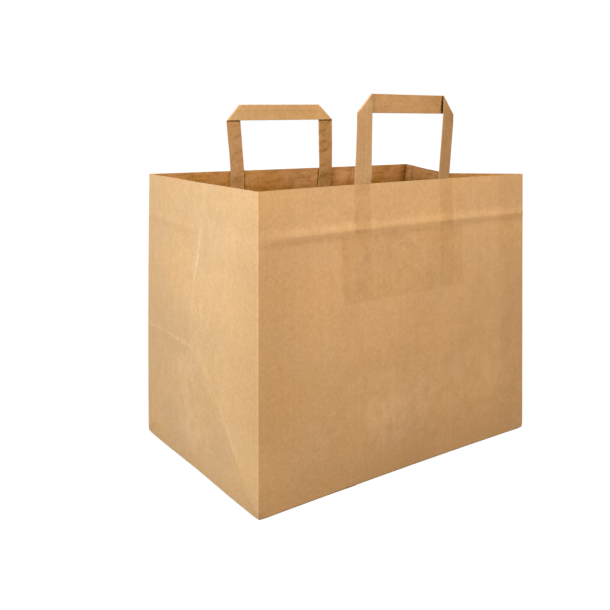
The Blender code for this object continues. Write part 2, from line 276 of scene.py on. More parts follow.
def main_panel(side_y, share, z):
    """The front (-1) or back (+1) panel, from its left edge (0) to its right edge (1)."""
    left = corner(-1, side_y, z)
    right = corner(1, side_y, z)
    if side_y > 0:
        right.x -= LAYER_STEP
    place = between(left, right, share)
    bow = (FRONT_BOW if side_y < 0 else BACK_BOW) * above_apex(z)
    if side_y < 0:
        bow += FOOT_HOLLOW * max(0.0, 1 - z / FOOT_HOLLOW_HEIGHT)
    ridge = PRESSED_RIDGE * max(0.0, 1 - abs(z - PRESSED_LINE) / PRESSED_WIDTH) * min(1.0, 8 * share)
    place.y -= side_y * (bow * 4 * share * (1 - share) - ridge)
    return place


# The middle crease of the left gusset above the diagonals. That of the right one is folded in, by this much
# where the diagonals meet and as far as this point at the mouth. Their bends are eased over this length.
LEFT_CREASE = [Vector((-0.164, 0, APEX_HEIGHT)), Vector((-0.1645, -0.001, 0.160)),
               Vector((-0.1585, -0.004, 0.190)), Vector((-0.155, -0.013, HEIGHT))]
RIGHT_FOLD_IN = 0.042
RIGHT_CREASE_MOUTH = Vector((0.097, -0.053, HEIGHT))
CREASE_EASE = 0.022


def gusset_crease(side_x, z):
    """The crease down the middle of a gusset. The left one bulges a little, the right is half folded in."""
    line = [Vector((side_x * WIDTH / 2, 0, 0))]
    if side_x < 0:
        line += LEFT_CREASE
    else:
        middle = (corner(1, -1, APEX_HEIGHT) + corner(1, 1, APEX_HEIGHT)) / 2
        line += [middle - Vector((RIGHT_FOLD_IN, 0, 0)), RIGHT_CREASE_MOUTH]

    def on_line(height):
        for lower, upper in zip(line, line[1:]):
            if height <= upper.z:
                return between(lower, upper, (height - lower.z) / (upper.z - lower.z))
        return line[-1]

    reach = max(0.0, min(CREASE_EASE, z - APEX_HEIGHT, HEIGHT - z))
    return sum((on_line(z + reach * step) for step in (-1, -0.5, 0, 0.5, 1)), Vector()) / 5


def half_gusset(side_x, half, share, z):
    """A gusset's front (-1) or back (+1) half, from its corner (0) to its middle crease (1)."""
    edge = corner(side_x, half, z)
    if z >= APEX_HEIGHT:
        return between(edge, gusset_crease(side_x, z), share)
    up = z / APEX_HEIGHT
    diagonal = between(corner(side_x, half, 0), gusset_crease(side_x, APEX_HEIGHT), up)
    if share <= up:
        return between(edge, diagonal, share / up if up else 0)
    return between(diagonal, gusset_crease(side_x, z), (share - up) / (1 - up))


# Where each wall starts on the flat sheet, round from the seam: right gusset, front, left gusset, back, lap
FRONT_START = DEPTH
LEFT_START = FRONT_START + WIDTH
BACK_START = LEFT_START + DEPTH
LAP_START = BACK_START + WIDTH
SHEET_END = LAP_START + SEAM_LAP
MIDDLE_RIGHT = DEPTH / 2
MIDDLE_LEFT = LEFT_START + DEPTH / 2


def folded(u, z):
    """Where a point of the flat sheet lies on the folded bag, with perfectly sharp folds."""
    if u <= MIDDLE_RIGHT:
        return half_gusset(1, 1, u / (DEPTH / 2), z)
    if u <= FRONT_START:
        return half_gusset(1, -1, (FRONT_START - u) / (DEPTH / 2), z)
    if u <= LEFT_START:
        return main_panel(-1, (LEFT_START - u) / WIDTH, z)
    if u <= MIDDLE_LEFT:
        return half_gusset(-1, -1, (u - LEFT_START) / (DEPTH / 2), z)
    if u <= BACK_START:
        return half_gusset(-1, 1, (BACK_START - u) / (DEPTH / 2), z)
    if u <= LAP_START:
        return main_panel(1, (u - BACK_START) / WIDTH, z)
    return half_gusset(1, 1, (u - LAP_START) / (DEPTH / 2), z) - Vector((LAYER_STEP, 0, 0))


def slack(u, z):
    """How far the paper stands out from its straight folds: soft waves that die away at every fold."""
    if u > LAP_START:
        return 0.0
    starts = (0, FRONT_START, LEFT_START, BACK_START, LAP_START)
    start, end = next((start, end) for start, end in zip(starts, starts[1:]) if u <= end)
    share = (u - start) / (end - start)
    spread = math.sin(math.pi * share)
    above_foot = min(1.0, z / 0.05)
    long_wave = noise.noise(Vector((u / 0.085, z / 0.12, 4.2)))
    short_wave = noise.noise(Vector((u / 0.04, z / 0.07, 9.1)))
    out = 0.0011 * spread * above_foot * (long_wave + 0.5 * short_wave)
    if start == FRONT_START:
        # A soft swelling near the front's right end
        out += 0.0009 * math.exp(-((u - start - 0.036) / 0.016) ** 2) * above_foot
    if start == LEFT_START:
        # The left gusset's foot stands out
        out += 0.0009 * min(1.0, 1.6 * spread) * max(0.0, 1 - z / 0.07)
    return out


def inward(u):
    """The level direction from a wall into the bag."""
    if u < FRONT_START:
        return Vector((-1, 0, 0))
    if u < LEFT_START:
        return Vector((0, 1, 0))
    if u < BACK_START:
        return Vector((1, 0, 0))
    if u < LAP_START:
        return Vector((0, -1, 0))
    return Vector((-1, 0, 0))


def walls(u, z):
    """Where a point of the sheet lies with folds of a real radius and the paper's slack."""
    places = [folded(u, z) * 2]
    for step in (-FOLD_RADIUS, FOLD_RADIUS):
        places.append(folded(min(max(u + step, 0), SHEET_END), z))
        beside = folded(u, min(max(z + step, 0), HEIGHT))
        beside.z -= min(max(z + step, 0), HEIGHT) - z
        places.append(beside)
    place = sum(places, Vector()) / 6
    return place - inward(u) * slack(u, z)


# The heights of the layers of the base
OUTER_LAYER = PAPER / 2
MIDDLE_LAYER = OUTER_LAYER + LAYER_STEP
INNER_LAYER = MIDDLE_LAYER + LAYER_STEP
MESH_STEP = 0.0045  # between the corners of the mesh, away from the folds


def spaced(start, end, gap):
    """Even steps of about this gap from start up to end, without end."""
    count = max(1, round((end - start) / gap))
    return [start + (end - start) * step / count for step in range(count)]


def sheet_columns():
    """Every place across the sheet where a column of corners goes: close together beside each fold."""
    folds = [0, MIDDLE_RIGHT, FRONT_START, LEFT_START, MIDDLE_LEFT, BACK_START, LAP_START, SHEET_END]
    columns = []
    for start, end in zip(folds, folds[1:]):
        columns += [start + offset for offset in (0, FOLD_RADIUS / 2, FOLD_RADIUS, PINHOLE)]
        columns += spaced(start + 2 * PINHOLE, end - 2 * PINHOLE, MESH_STEP)
        columns += [end - offset for offset in (2 * PINHOLE, PINHOLE, FOLD_RADIUS, FOLD_RADIUS / 2)]
    return columns + [SHEET_END]


def sheet_rows():
    """The heights of the rows of corners, from the fold at the base to the mouth."""
    rows = [0, 0.0002, OPEN_FOOT, FOLD_RADIUS, PINHOLE, 0.002, 0.0035]
    rows += spaced(0.006, APEX_HEIGHT, MESH_STEP) + spaced(APEX_HEIGHT, 0.220, MESH_STEP)
    rows += [0.220, 0.222, 0.224, 0.2256, PRESSED_LINE, 0.2274, 0.229, 0.231, 0.233]
    return rows + spaced(0.237, HEIGHT, MESH_STEP) + [HEIGHT]


MOUTH_LIFT = 0.0007  # how much higher the mouth stands along its back
BACK_REACH = 0.05  # how far behind the middle of the bag it has its full lift
RIGHT_LIFT = 0.3  # the share of the lift at the mouth's right end


def standing(u, z):
    """Where a point of the walls lies once the bag stands on its folded base, with its foot rounded."""
    on_gusset = u < FRONT_START or LEFT_START < u < BACK_START
    base = INNER_LAYER if on_gusset else OUTER_LAYER
    place = walls(u, z)
    place.z = base + z * (HEIGHT - base) / HEIGHT
    lifted = max(clamped(place.y / BACK_REACH), RIGHT_LIFT * place.x / (WIDTH / 2))
    place.z += MOUTH_LIFT * lifted * above_apex(z) ** 2
    if z < FOLD_RADIUS:
        place += inward(u) * (FOLD_RADIUS - math.sqrt(FOLD_RADIUS ** 2 - (FOLD_RADIUS - z) ** 2))
    return place


def side_flap(sheet, point, side_x, line):
    """A side flap, folded in first, from the foot of its gusset: a layer with both corners turned under it.

    It returns the folded edges that its front (-1) and its back (1) corner share with the main flaps.
    """
    end_x = WIDTH / 2 - SIDE_FLAP
    diagonal_end = DEPTH / 2 - SIDE_FLAP
    middle_u = MIDDLE_RIGHT if side_x > 0 else MIDDLE_LEFT

    def pair(start, end_y, height):
        """A line over the flap from this start to its end, at this height."""
        ends = (start, (end_x, end_y))
        return [point((side_x * x, y, height), middle_u - side_x * y, x - WIDTH / 2) for x, y in ends]

    starts, sides, edges = {}, {}, {}
    for side_y in (-1, 1):
        foot = corner(side_x, side_y, 0)
        starts[side_y] = abs(foot.x) - PINHOLE
        sides[side_y] = side_y * (abs(foot.y) - FLAP_CLEARANCE - FOLD_RADIUS)
        edges[side_y] = pair((starts[side_y], sides[side_y]), sides[side_y], INNER_LAYER)
    sheet.faces.new([*line, *edges[-side_x], *reversed(edges[side_x])])
    shared = {}
    for side_y in (-1, 1):
        diagonal_start = (starts[side_y], corner(side_x, side_y, 0).y - side_y * PINHOLE)
        under = pair((starts[side_y], sides[side_y]), sides[side_y], MIDDLE_LAYER)
        inner = pair(diagonal_start, side_y * diagonal_end, MIDDLE_LAYER)
        outer = pair(diagonal_start, side_y * diagonal_end, OUTER_LAYER)
        for near, far in ((edges[side_y], under), (under, inner), (inner, outer)):
            sheet.faces.new((near[0], near[1], far[1], far[0]))
        shared[side_y] = outer
    return shared


def main_flap(sheet, point, side_y, line, first, last):
    """The front (-1) or back (1) main flap, between its first and its last shared edge.

    Both flaps reach past the middle of the base, and the back one steps up over the front one.
    """
    left_u = LEFT_START if side_y < 0 else BACK_START
    end_x = -side_y * (WIDTH / 2 - SIDE_FLAP)

    def level_line(y, height):
        return [point((x, y, height), left_u + side_y * (x + WIDTH / 2), abs(y) - DEPTH / 2)
                for x in (-end_x, end_x)]

    if side_y < 0:
        lines = [level_line(MAIN_FLAP_LAP, OUTER_LAYER)]
    else:
        lines = [level_line(MAIN_FLAP_LAP + 2 * LAP_RAMP, OUTER_LAYER),
                 level_line(MAIN_FLAP_LAP + LAP_RAMP, MIDDLE_LAYER), level_line(-MAIN_FLAP_LAP, MIDDLE_LAYER)]
    sheet.faces.new([*line, *last, *lines[0], *reversed(first)])
    for near, far in zip(lines, lines[1:]):
        sheet.faces.new((near[0], near[1], far[1], far[0]))


def body_sheet():
    """The whole sheet as one surface without thickness: the walls first, then the layers of the base."""
    sheet = bmesh.new()
    flat = sheet.verts.layers.float_vector.new("flat")

    def point(place, u, v):
        made = sheet.verts.new(place)
        made[flat] = (u, v, 0)
        return made

    columns = sheet_columns()
    rows = sheet_rows()
    grid = [[point(standing(u, z), u, z) for z in rows] for u in columns]
    folds = [0, FRONT_START, LEFT_START, BACK_START, LAP_START]
    for index in range(len(columns) - 1):
        middle = (columns[index] + columns[index + 1]) / 2
        foot = OPEN_FOOT if min(abs(middle - fold) for fold in folds) < PINHOLE else 0.0
        if middle > LAP_START:
            # The lap is cut off along the diagonal crease of the gusset
            foot = max(PINHOLE, (middle - LAP_START) / (DEPTH / 2) * APEX_HEIGHT)
        lower, upper = grid[index], grid[index + 1]
        for row in range(len(rows) - 1):
            if rows[row] >= foot:
                sheet.faces.new((lower[row], upper[row], upper[row + 1], lower[row + 1]))
    bmesh.ops.delete(sheet, geom=[v for v in sheet.verts if not v.link_faces], context="VERTS")

    def wall_foot(start, end):
        return [column[0] for u, column in zip(columns, grid) if start < u < end and column[0].is_valid]

    right = side_flap(sheet, point, 1, wall_foot(0, FRONT_START))
    left = side_flap(sheet, point, -1, wall_foot(LEFT_START, BACK_START))
    main_flap(sheet, point, -1, wall_foot(FRONT_START, LEFT_START), right[-1], left[-1])
    main_flap(sheet, point, 1, wall_foot(BACK_START, LAP_START), left[1], right[1])
    bmesh.ops.recalc_face_normals(sheet, faces=sheet.faces)
    sheet.faces.ensure_lookup_table()
    if sheet.faces[0].normal.x < 0:
        bmesh.ops.reverse_faces(sheet, faces=sheet.faces)
    return sheet


def blunted(sheet):
    """Crushes the four base corners a little, where the folds meet and every real bag is worn."""
    reach, lift, inset = 0.008, 0.0003, 0.0007
    for point in sheet.verts:
        side = Vector((math.copysign(1, point.co.x), math.copysign(1, point.co.y), 0))
        near = max(0.0, 1 - (point.co - corner(side.x, side.y, 0)).length / reach)
        point.co += (Vector((0, 0, lift)) - side * inset) * near ** 2


def made_of_paper(name, sheet, outside, inside=None):
    """Gives a surface its thickness and its paper, and returns the finished piece."""
    surface = bpy.data.meshes.new(name + "_surface")
    sheet.to_mesh(surface)
    sheet.free()
    piece = bpy.data.objects.new(name, surface)
    bpy.context.scene.collection.objects.link(piece)
    thick = piece.modifiers.new("paper", "SOLIDIFY")
    thick.thickness = PAPER
    thick.offset = 0.0
    thick.use_even_offset = True
    surface.materials.append(outside)
    if inside:
        surface.materials.append(inside)
        thick.material_offset = 1
    solid = bpy.data.meshes.new_from_object(piece.evaluated_get(bpy.context.evaluated_depsgraph_get()))
    piece.modifiers.clear()
    piece.data = solid
    solid.name = name
    bpy.data.meshes.remove(surface)
    solid.shade_smooth()
    solid.set_sharp_from_angle(angle=math.radians(40))
    return piece


def across_sheet(side_y, x, z):
    """The place across the flat sheet of a point of the front (-1) or back (+1) panel."""
    left, right = corner(-1, side_y, z), corner(1, side_y, z)
    share = (x - left.x) / (right.x - left.x)
    return LEFT_START - share * WIDTH if side_y < 0 else BACK_START + share * WIDTH


def shown_through(side_y, x_start, x_end, z_start, z_end, strength):
    """What is glued inside a panel between these places, as a mark on the sheet."""
    across = sorted(across_sheet(side_y, x, (z_start + z_end) / 2) for x in (x_start, x_end))
    return (across[0], z_start), (across[1], z_end), strength


body_wear_and_light = [
    # The middle creases of the gussets, and the diagonals from the base corners to the apex, with painted
    # highlights and painted shade beside some of them
    ((MIDDLE_LEFT, 0.0), (MIDDLE_LEFT, APEX_HEIGHT), 0.0014, 0.04),
    ((MIDDLE_LEFT, APEX_HEIGHT), (MIDDLE_LEFT, 0.200), 0.0030, 0.06),
    ((MIDDLE_LEFT + 0.0010, 0.165), (MIDDLE_LEFT + 0.0010, HEIGHT), 0.0030, 0.05),
    ((MIDDLE_LEFT + 0.0010, 0.175), (MIDDLE_LEFT - 0.0020, HEIGHT), 0.0034, 0.05),
    ((MIDDLE_LEFT + 0.0005, 0.185), (MIDDLE_LEFT - 0.0055, HEIGHT), 0.0036, 0.05),
    ((MIDDLE_LEFT + 0.0080, 0.190), (MIDDLE_LEFT + 0.0060, 0.255), 0.0140, 0.02),
    ((MIDDLE_RIGHT, APEX_HEIGHT), (MIDDLE_RIGHT, HEIGHT), 0.0014, 0.06),
    ((LEFT_START + 0.0020, 0.0), (MIDDLE_LEFT - 0.0590, 0.0640), 0.0034, 0.060),
    ((MIDDLE_LEFT - 0.0590, 0.0640), (MIDDLE_LEFT - 0.0110, 0.1200), 0.0034, 0.050),
    ((LEFT_START + 0.0150, 0.0180), (MIDDLE_LEFT - 0.0540, 0.0590), 0.0050, -0.050),
    ((LEFT_START + 0.0020, 0.0010), (LEFT_START + 0.0120, 0.0110), 0.0050, -0.100),
    ((MIDDLE_LEFT + 0.0200, 0.0400), (MIDDLE_LEFT + 0.0250, 0.0950), 0.0220, 0.045),
    ((MIDDLE_LEFT + 0.0320, 0.1100), (MIDDLE_LEFT + 0.0180, 0.0970), 0.0030, -0.040),
    ((BACK_START, 0.0), (MIDDLE_LEFT, APEX_HEIGHT), 0.0030, 0.035),
    ((0.0, 0.0), (MIDDLE_RIGHT, APEX_HEIGHT), 0.0018, 0.06),
    ((FRONT_START, 0.0), (MIDDLE_RIGHT, APEX_HEIGHT), 0.0018, 0.06),
    # The level crease across the left gusset, which sags towards the middle, with its shaded lower side
    ((MIDDLE_LEFT + 0.001, 0.1182), (MIDDLE_LEFT + 0.030, 0.1180), 0.0026, 0.12),
    ((MIDDLE_LEFT + 0.030, 0.1180), (MIDDLE_LEFT + 0.072, 0.1172), 0.0026, 0.09),
    ((MIDDLE_LEFT + 0.072, 0.1172), (BACK_START, 0.1150), 0.0026, 0.08),
    ((MIDDLE_LEFT + 0.012, 0.1110), (BACK_START, 0.1085), 0.0080, -0.050),
    # The vertical folds are rubbed pale, and the front left one carries a painted highlight on its left side
    ((LEFT_START + 0.0006, 0.004), (LEFT_START + 0.0006, HEIGHT), 0.0016, 0.09),
    ((BACK_START, 0.004), (BACK_START, HEIGHT), 0.0012, 0.04),
    ((FRONT_START, 0.004), (FRONT_START, HEIGHT), 0.0012, 0.04),
    # The pressed line on the left gusset: a painted highlight over painted shade on each side of the middle
    # crease
    ((MIDDLE_LEFT + 0.012, 0.2250), (BACK_START - 0.004, 0.2290), 0.0040, 0.055),
    ((MIDDLE_LEFT + 0.015, 0.2190), (BACK_START - 0.004, 0.2215), 0.0060, -0.060),
    ((LEFT_START + 0.012, 0.2250), (MIDDLE_LEFT - 0.012, 0.2300), 0.0090, 0.035),
    ((LEFT_START + 0.002, 0.2180), (LEFT_START + 0.075, 0.2190), 0.0150, 0.050),
    ((LEFT_START + 0.001, 0.2250), (LEFT_START + 0.020, 0.2250), 0.0100, 0.045),
    # The left gusset has painted light low in its middle and painted shade along its foot, and its back corner
    # is crumpled, with painted shade in the crumple
    ((MIDDLE_LEFT, 0.040), (MIDDLE_LEFT, 0.095), 0.0380, 0.070),
    ((LEFT_START, 0.001), (BACK_START, 0.001), 0.0220, -0.045),
    ((BACK_START - 0.001, 0.0030), (BACK_START - 0.016, 0.0120), 0.0045, -0.110),
    # The pressed line on the front and back panels: painted shade along it, painted highlights above it on the
    # front
    ((FRONT_START, 0.2225), (LEFT_START, 0.2225), 0.0045, -0.045),
    ((LEFT_START - 0.090, 0.2205), (LEFT_START, 0.2205), 0.0060, -0.020),
    ((FRONT_START + 0.030, 0.2300), (LEFT_START - 0.004, 0.2305), 0.0060, 0.035),
    ((LEFT_START - 0.112, 0.2320), (LEFT_START - 0.006, 0.2320), 0.0060, 0.025),
    ((LEFT_START - 0.094, 0.2330), (LEFT_START - 0.066, 0.2480), 0.0060, 0.045),
    ((LEFT_START - 0.094, 0.2305), (LEFT_START - 0.078, 0.2305), 0.0060, 0.040),
    ((BACK_START, 0.2225), (LAP_START, 0.2225), 0.0034, -0.045),
    # The front has painted shade along its foot, down its left part and at the top of its right end, painted
    # light above its foot, and faint folds low down
    ((FRONT_START, 0.002), (LEFT_START - 0.190, 0.002), 0.0420, -0.035),
    ((LEFT_START - 0.160, 0.002), (LEFT_START, 0.002), 0.0420, -0.070),
    ((LEFT_START - 0.130, 0.0620), (LEFT_START - 0.280, 0.0650), 0.0650, 0.075),
    ((LEFT_START - 0.140, 0.0420), (LEFT_START - 0.160, 0.0430), 0.0400, 0.040),
    ((LEFT_START - 0.006, 0.0850), (LEFT_START - 0.006, 0.2100), 0.0620, -0.110),
    ((FRONT_START + 0.004, 0.2520), (LEFT_START - 0.270, 0.2520), 0.0250, -0.040),
    ((LEFT_START - 0.182, 0.1275), (LEFT_START - 0.280, 0.1215), 0.0026, 0.035),
    ((LEFT_START - 0.284, 0.0400), (LEFT_START - 0.316, 0.0090), 0.0020, 0.05),
]
body_doubled = [
    # The patches and the legs of both handles
    shown_through(-1, -0.0734, 0.0707, 0.164, 0.221, 0.085),
    shown_through(-1, -0.0575, -0.0404, 0.166, 0.2225, 0.025),
    shown_through(-1, -0.0580, -0.0404, 0.2225, 0.270, 0.120),
    shown_through(-1, 0.0417, 0.0578, 0.166, 0.2225, 0.045),
    shown_through(-1, 0.0417, 0.0578, 0.2225, 0.270, 0.110),
    shown_through(1, -0.0844, 0.0597, 0.164, 0.221, 0.060),
    shown_through(1, -0.0705, -0.0544, 0.166, 0.270, 0.080),
    shown_through(1, 0.0337, 0.0498, 0.166, 0.270, 0.080),
    # The lap of the side seam, seen through the right gusset
    ((0.0, 0.020), (SEAM_LAP, 0.270), 0.050),
]
body_paper = kraft("kraft_body", (0.672, 0.410, 0.196), body_wear_and_light, body_doubled)


def back_mark(start, end, width, strength):
    """A mark near the mouth of the back panel, from one place (x, z) to another."""
    from_end, to_end = ((across_sheet(1, x, 0.25), z) for x, z in (start, end))
    return from_end, to_end, width, strength


inner_marks = [
    # Painted shadows beside the back handle's legs, and painted shade in the valley of the lap at the seam
    back_mark((-0.0713, 0.200), (-0.0713, HEIGHT - 0.004), 0.0016, -0.30),
    back_mark((-0.0536, 0.200), (-0.0536, HEIGHT - 0.006), 0.0016, -0.25),
    back_mark((0.0354, 0.247), (0.0354, HEIGHT - 0.002), 0.0022, -0.60),
    ((LAP_START - 0.0035, 0.200), (LAP_START - 0.0035, HEIGHT), 0.0090, -0.40),
    # Painted shade inside the right gusset and the left end of the back panel, and painted light at its right
    # end
    ((0.0, 0.235), (MIDDLE_RIGHT, 0.235), 0.0400, -0.300),
    ((BACK_START + 0.010, 0.240), (BACK_START + 0.075, 0.240), 0.0400, -0.190),
    back_mark((0.005, 0.252), (0.024, 0.252), 0.0220, 0.200),
    back_mark((0.066, 0.255), (0.095, 0.258), 0.0220, 0.260),
]
# The inside face is a darker, redder kraft; its darkness partly paints the shade inside the bag, and painted
# shade also darkens it going down from the mouth
inner_paper = kraft("kraft_body_inside", (0.470, 0.229, 0.079), inner_marks, grain=1.5, shine=0.10, stain=0.20,
                    painted_depth_shade=(0.234, 0.260, 0.66))
folded_sheet = body_sheet()
blunted(folded_sheet)
bag_body = made_of_paper("bag_body_sheet", folded_sheet, body_paper, inner_paper)
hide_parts("bag_body")
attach(bag_body, "root")

# The front handle
# One flat strip of kraft folded to several plies and pressed, 16 mm wide. Both top corners are folded over
# at 45 degrees, which puts the bar behind the legs. The legs are glued inside the front panel.
STRIP_WIDTH = 0.0161
STRIP_THICKNESS = 0.0008
STRIP_BEND = 0.00055  # the radius of its folds, at the middle of its thickness
PLY_EDGE = 0.0100  # where the edge of the last ply lies on one face
PLY = 0.00013  # how thick that ply is
STRIP_STEP = 0.003  # between the rows of corners along it
GLUE_GAP = 0.0004  # the glue between the leg and the panel
LEG_INSERT = 0.095  # how much of each leg is inside the bag
LEG_DEPTH = PAPER / 2 + GLUE_GAP + STRIP_THICKNESS / 2
WRINKLES = 15  # on each leg
WRINKLE_STEP = 0.0043
CORNER_REACH = 0.05  # how far along the strip a folded corner pulls at it
STRIPS_AT = 2.0  # the strips' place on the flat sheet, far from the body's, gives them marks of their own


def inside_panel(side_y, x, z, depth):
    """A point this far inside the front or back panel, which is also followed up above the mouth."""
    level = min(z, HEIGHT)
    u = across_sheet(side_y, x, level)
    place = walls(u, level) + inward(u) * depth
    place.z = z
    return place


def strip_outline():
    """Round the strip: across it (t) and through it (n). One face shows the edge of the last ply."""
    half, round_off, step = STRIP_THICKNESS / 2, 0.0002, 0.002
    low_face = [(t, -half) for t in spaced(round_off, STRIP_WIDTH - round_off, step)]
    high_face = [(t, half) for t in spaced(STRIP_WIDTH - round_off, PLY_EDGE, step)] + [(PLY_EDGE, half)]
    thin_face = [(t, half - PLY) for t in spaced(PLY_EDGE - 0.0001, round_off, step)]
    edge = [(STRIP_WIDTH - round_off, -half), (STRIP_WIDTH, round_off - half), (STRIP_WIDTH, half - round_off)]
    other_edge = [(round_off, half - PLY), (0.0, half - PLY - round_off), (0.0, round_off - half)]
    return low_face + edge + high_face + thin_face + other_edge


def strip_rows(first_fold, second_fold, end):
    """Rows of corners along the strip: (distance at t = 0, lean of the row), leaning over beside each fold."""
    turn = STRIP_BEND * math.sqrt(2) * math.pi / 2
    ease = 0.024
    rows = []
    for s in spaced(0, first_fold - turn, STRIP_STEP):
        rows.append((s, clamped((s - first_fold + turn + ease) / ease)))
    rows += [(first_fold + turn * (step / 4 - 1), 1.0) for step in range(8)]
    start, stop = first_fold + turn, second_fold - turn
    for s in spaced(start, stop, STRIP_STEP):
        rows.append((s, 1 - 2 * (s - start) / (stop - start)))
    rows += [(second_fold + turn * (step / 4 - 1), -1.0) for step in range(8)]
    start = second_fold + turn
    for s in spaced(start, end, STRIP_STEP):
        rows.append((s, min(0.0, -1 + (s - start) / ease)))
    return rows + [(end, 0.0)]


def turned_over(q, n):
    """A bend of 180 degrees: where a point this far past the fold (q) ends up along and through the strip."""
    radius = STRIP_BEND + n
    start = -STRIP_BEND * math.pi / 2
    if q < start:
        return q, -radius
    angle = (q - start) / STRIP_BEND
    if angle < math.pi:
        return start + radius * math.sin(angle), -radius * math.cos(angle)
    return start - (q - start - math.pi * STRIP_BEND), radius


def strip_place(s, t, n, width, foot):
    """Where a point of the flat strip lies once both corners are folded.

    It returns x from the left leg's outer edge, the height above its foot and the depth behind the legs.
    """
    root = math.sqrt(2)
    second_fold = foot + width
    if s + t < (foot + second_fold) / 2 + STRIP_WIDTH / 2:
        along, past = (s - foot + t) / root, (s - foot - t) / root
        folded_back, depth = turned_over(past, n)
        return (along - folded_back) / root, foot + (along + folded_back) / root, depth
    along, past = (s - second_fold - t) / root, (s + t - second_fold) / root
    folded_back, depth = turned_over(past, n)
    return width + (folded_back + along) / root, foot + (folded_back - along) / root, -depth


def strip_marks(left, foot, width, end):
    """The marks of a handle's paper: painted shade on its glued ends, worn folds, painted shade in its
    wrinkles, under its bar and on one leg, and a painted shadow in a slit.
    """
    near, far = STRIPS_AT + left, STRIPS_AT + left + STRIP_WIDTH
    second = foot + width
    # Painted shade on the ends glued inside the bag
    glued = [((near, 0), (far, LEG_INSERT - 0.004), 0.18),
             ((near, end - LEG_INSERT + 0.004), (far, end), 0.18)]
    worn = [((near, foot), (far, foot + STRIP_WIDTH), 0.0012, 0.012),
            ((near, second), (far, second - STRIP_WIDTH), 0.0012, 0.012)]
    # Painted shade under the bar
    wrinkled = [((near, s), (far, s), 0.0013, -0.7) for s in (foot - 0.0004, second + 0.0004)]
    # Painted shade in the wrinkles of the legs
    for leg_start, depth in ((LEG_INSERT - 0.012, 0.11), (second + 0.001, 0.16)):
        for step in range(WRINKLES):
            s = leg_start + WRINKLE_STEP * step + 0.0040 * noise.noise(Vector((step, left, 0.5)))
            strength = -0.7 * depth - 0.30 * noise.noise(Vector((step / 1.7, left, 4.5)))
            start, stop = near + 0.004 * (step % 3), far - 0.004 * ((step + 1) % 3)
            wrinkled.append(((start, s), (stop, s + 0.0025), 0.0028, strength))
    # Painted shade down the leg past the second fold
    shaded_leg = [((near, second), (far, end), 0.17)]
    # A painted shadow in the slit where the right leg stands off the bar
    slit = [((near, second - STRIP_WIDTH + 0.0024), (far, second - STRIP_WIDTH), 0.0022, -0.9)]
    return glued, worn, worn + wrinkled, shaded_leg, slit


def handle(name, side_y, left, width, rise, lean, pinch, papers, relief):
    """A folded strip, glued to the front (-1) or back (+1) panel.

    Its bar leans aside and drops to the right by lean. At the mouth its left and its right leg are drawn in
    by pinch. papers are those of its smooth and its rough face. relief gives how much deeper than flat a
    point lies.
    """
    foot = rise - STRIP_WIDTH + LEG_INSERT
    end = 2 * foot + width
    strip = bmesh.new()
    flat = strip.verts.layers.float_vector.new("flat")
    outline = strip_outline()
    rings = []
    for s_start, tilt in strip_rows(foot, foot + width, end):
        ring = []
        for t, n in outline:
            s = s_start + tilt * t
            x, height, depth = strip_place(s, t, n, width, foot)
            z = HEIGHT - LEG_INSERT + height
            up = max(0.0, z - HEIGHT) / rise
            deeper = STRIP_BEND + depth + relief(s, t, z)
            place = inside_panel(side_y, left + x, z, LEG_DEPTH + deeper)
            drawn_in = pinch[0] * (1 - x / width) - pinch[1] * x / width
            place.x += lean[0] * up + drawn_in * max(0.0, 1 - up)
            place.z -= lean[1] * (x / width - 0.5) * up
            point = strip.verts.new(place)
            point[flat] = (t + STRIPS_AT + left, s, 0)
            ring.append(point)
        rings.append(ring)
    count = len(outline)
    for lower, upper in zip(rings, rings[1:]):
        for index in range(count):
            after = (index + 1) % count
            side = strip.faces.new((lower[index], lower[after], upper[after], upper[index]))
            side.material_index = 1 if outline[index][1] < 0 else 0
    strip.faces.new(rings[0])
    strip.faces.new(rings[-1])
    bmesh.ops.recalc_face_normals(strip, faces=strip.faces)
    mesh = bpy.data.meshes.new(name)
    strip.to_mesh(mesh)
    strip.free()
    glued, worn, wrinkled, shaded_leg, slit = strip_marks(left, foot, width, end)
    wear_and_light_lines, doubled_and_shaded = (slit, glued) if side_y < 0 else (wrinkled, glued + shaded_leg)
    mesh.materials.append(kraft("kraft_%s_smooth" % name, papers[0], worn, glued, grain=1.2))
    mesh.materials.append(kraft("kraft_%s_rough" % name, papers[1], wear_and_light_lines, doubled_and_shaded, grain=1.4, shine=0.15))
    mesh.shade_smooth()
    mesh.set_sharp_from_angle(angle=math.radians(40))
    piece = bpy.data.objects.new(name + "_strip", mesh)
    bpy.context.scene.collection.objects.link(piece)
    return piece


FRONT_LEFT = -0.0565
FRONT_SPAN = 0.1131  # over both legs
FRONT_RISE = 0.0755  # above the mouth
# How far its legs' outer edges turn in at the mouth, and their inner edges are pulled off the bar at the top
LEFT_LEG_TURN, RIGHT_LEG_TURN = 0.0024, 0.0029
LEFT_LEG_PULL, RIGHT_LEG_PULL = 0.0008, 0.0036


